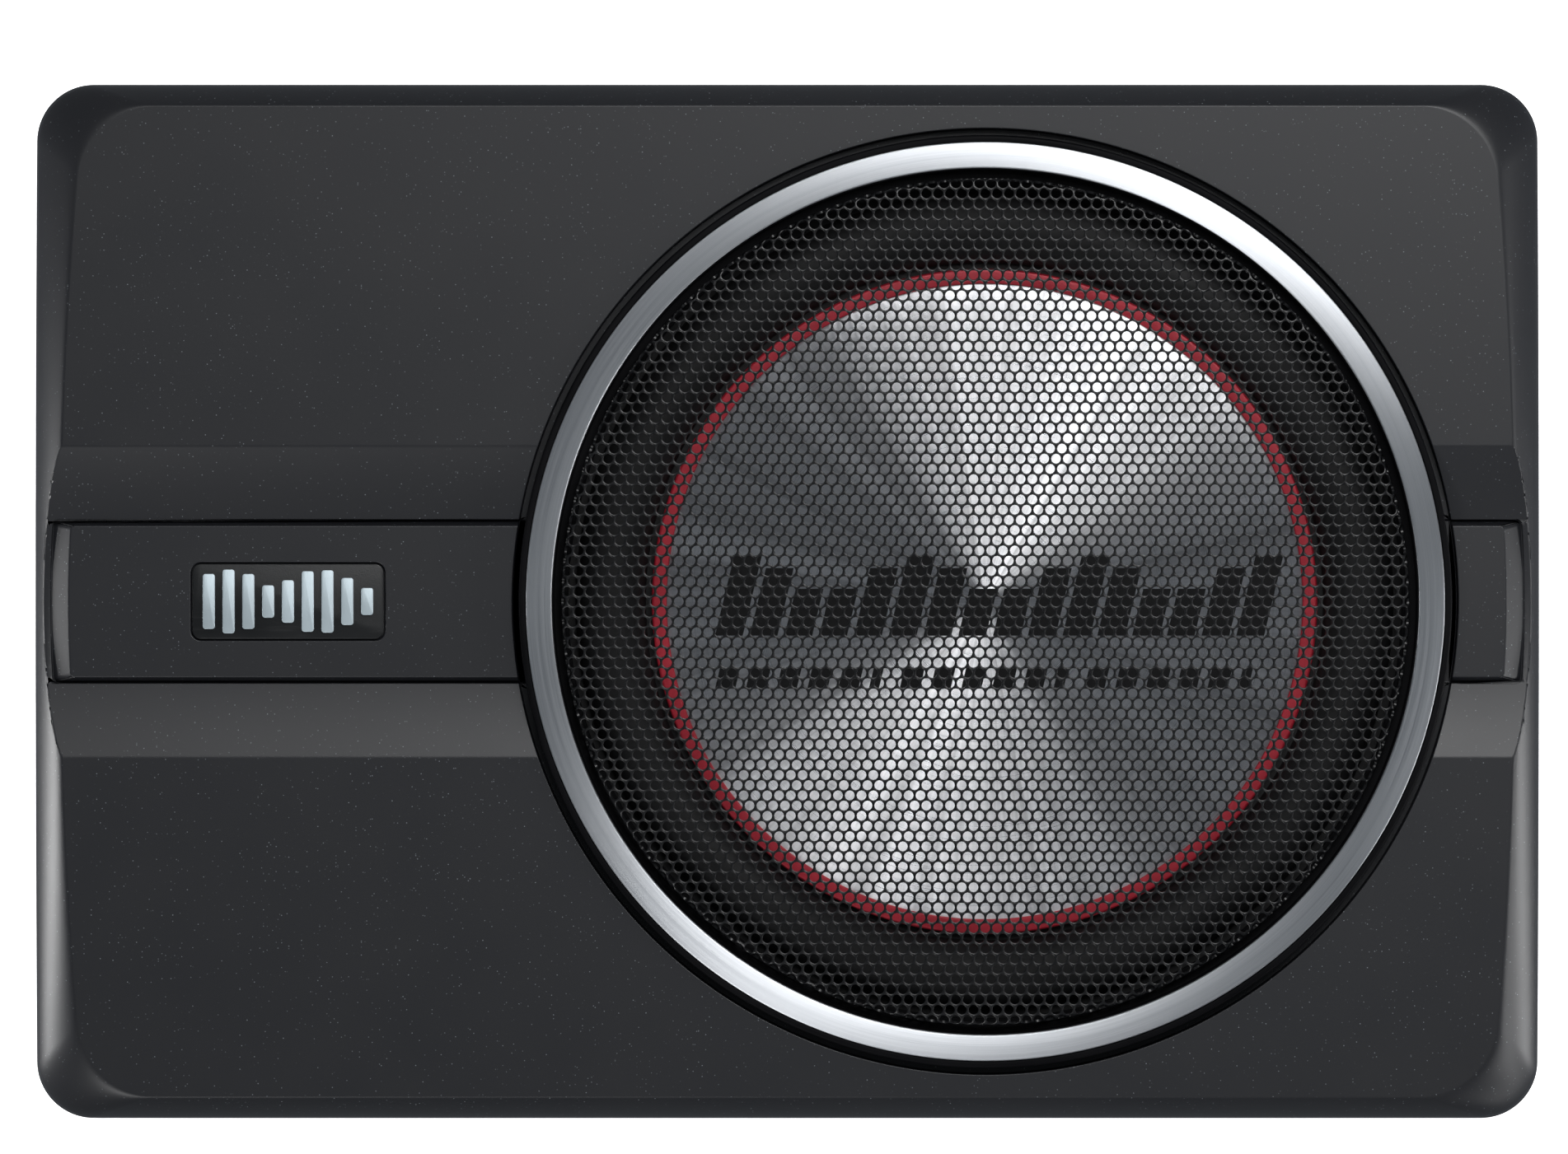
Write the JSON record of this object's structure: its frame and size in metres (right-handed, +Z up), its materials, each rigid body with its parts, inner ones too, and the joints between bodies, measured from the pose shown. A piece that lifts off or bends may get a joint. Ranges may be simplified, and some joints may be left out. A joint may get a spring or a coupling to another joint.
{
  "type": "powered car subwoofer",
  "caption": "Low cast enclosure with a round grille over a shallow driver, a shallow channel with a badge bar, and a recessed connector bay at one end.",
  "frame": {"origin": "middle of the footprint, on the surface the rubber feet stand on", "axes": "+X along the long side away from the connector bay, +Y across the width, +Z up out of the grille"},
  "size_m": [0.32, 0.22, 0.073],
  "materials": {
    "cast_shell": "dark grey fine-flake satin paint on a die-cast shell",
    "black_plastic": "satin black moulded plastic",
    "black_steel": "black powder-coated steel",
    "zinc_steel": "zinc-plated steel",
    "trim_aluminium": "circular-brushed aluminium ring",
    "disc_aluminium": "circular-brushed aluminium skin",
    "red_trim": "metallic red satin",
    "rubber": "matt black rubber",
    "cone_paper": "pressed black pulp",
    "copper": "enamelled copper wire",
    "spider_cloth": "resin-treated woven cloth",
    "ferrite": "sintered ferrite",
    "foam": "closed-cell foam gasket",
    "board": "green solder mask on a glass-fibre board",
    "gold_contact": "gold-plated contact",
    "fuse_amber": "clear amber plastic",
    "led": "red diffusing lens",
    "satin_silver": "satin silver emblem"
  },
  "bodies": {
    "enclosure": {"top_housing": "cast_shell", "base_plate": "black_steel", "base_gasket": "foam", "badge_plate": "black_plastic", "badge_emblem": "satin_silver", "bezel_ring": "black_plastic", "trim_ring": "trim_aluminium", "grille": "black_steel", "driver_frame": "black_steel", "driver_gasket": "foam", "top_plate": "zinc_steel", "magnet": "ferrite", "pole_yoke": "zinc_steel", "connector_panel": "black_plastic", "power_socket": "black_plastic", "high_level_socket": "black_plastic", "remote_socket": "black_plastic", "fuse_holder": "black_plastic", "fuse": "fuse_amber", "rca_jack_right": "gold_contact", "rca_jack_left": "gold_contact", "gain_pot": "zinc_steel", "crossover_pot": "zinc_steel", "phase_switch_body": "zinc_steel", "power_led": "led", "amp_board": "board", "toroid_coil": "copper", "capacitor_1": "black_plastic", "capacitor_2": "black_plastic", "heat_spreader": "zinc_steel", "base_screw_1": "zinc_steel", "driver_screw_1": "black_steel", "base_screw_2": "zinc_steel", "driver_screw_2": "black_steel", "base_screw_3": "zinc_steel", "driver_screw_3": "black_steel", "base_screw_4": "zinc_steel", "driver_screw_4": "black_steel", "base_screw_5": "zinc_steel", "driver_screw_5": "black_steel", "base_screw_6": "zinc_steel", "driver_screw_6": "black_steel", "rubber_foot_1": "rubber", "panel_screw_1": "zinc_steel", "rubber_foot_2": "rubber", "panel_screw_2": "zinc_steel", "rubber_foot_3": "rubber", "panel_screw_3": "zinc_steel", "rubber_foot_4": "rubber", "panel_screw_4": "zinc_steel"},
    "cone_assembly": {"cone": "cone_paper", "diaphragm_disc": "disc_aluminium", "accent_ring": "red_trim", "voice_coil_former": "trim_aluminium", "voice_coil": "copper", "surround": "rubber", "spider": "spider_cloth"},
    "gain_knob": {"gain_knob": "black_plastic"},
    "crossover_knob": {"crossover_knob": "black_plastic"},
    "phase_switch_slider": {"phase_switch_slider": "black_plastic"}
  },
  "joints": [
    {"name": "cone_stroke", "type": "slide", "parent": "enclosure", "child": "cone_assembly", "axis": [0, 0, 1], "range_m": [-0.005, 0.005], "stiffness_N_per_m": 2500, "deforming": ["surround", "spider"]},
    {"name": "gain_turn", "type": "hinge", "parent": "enclosure", "child": "gain_knob", "pos_m": [-0.148, -0.0176, 0.029], "axis": [-1, 0, 0], "range_deg": [-150, 150]},
    {"name": "crossover_turn", "type": "hinge", "parent": "enclosure", "child": "crossover_knob", "pos_m": [-0.148, -0.0328, 0.029], "axis": [-1, 0, 0], "range_deg": [-150, 150]},
    {"name": "phase_slide", "type": "slide", "parent": "enclosure", "child": "phase_switch_slider", "axis": [0, 1, 0], "range_m": [-0.003, 0]}
  ]
}
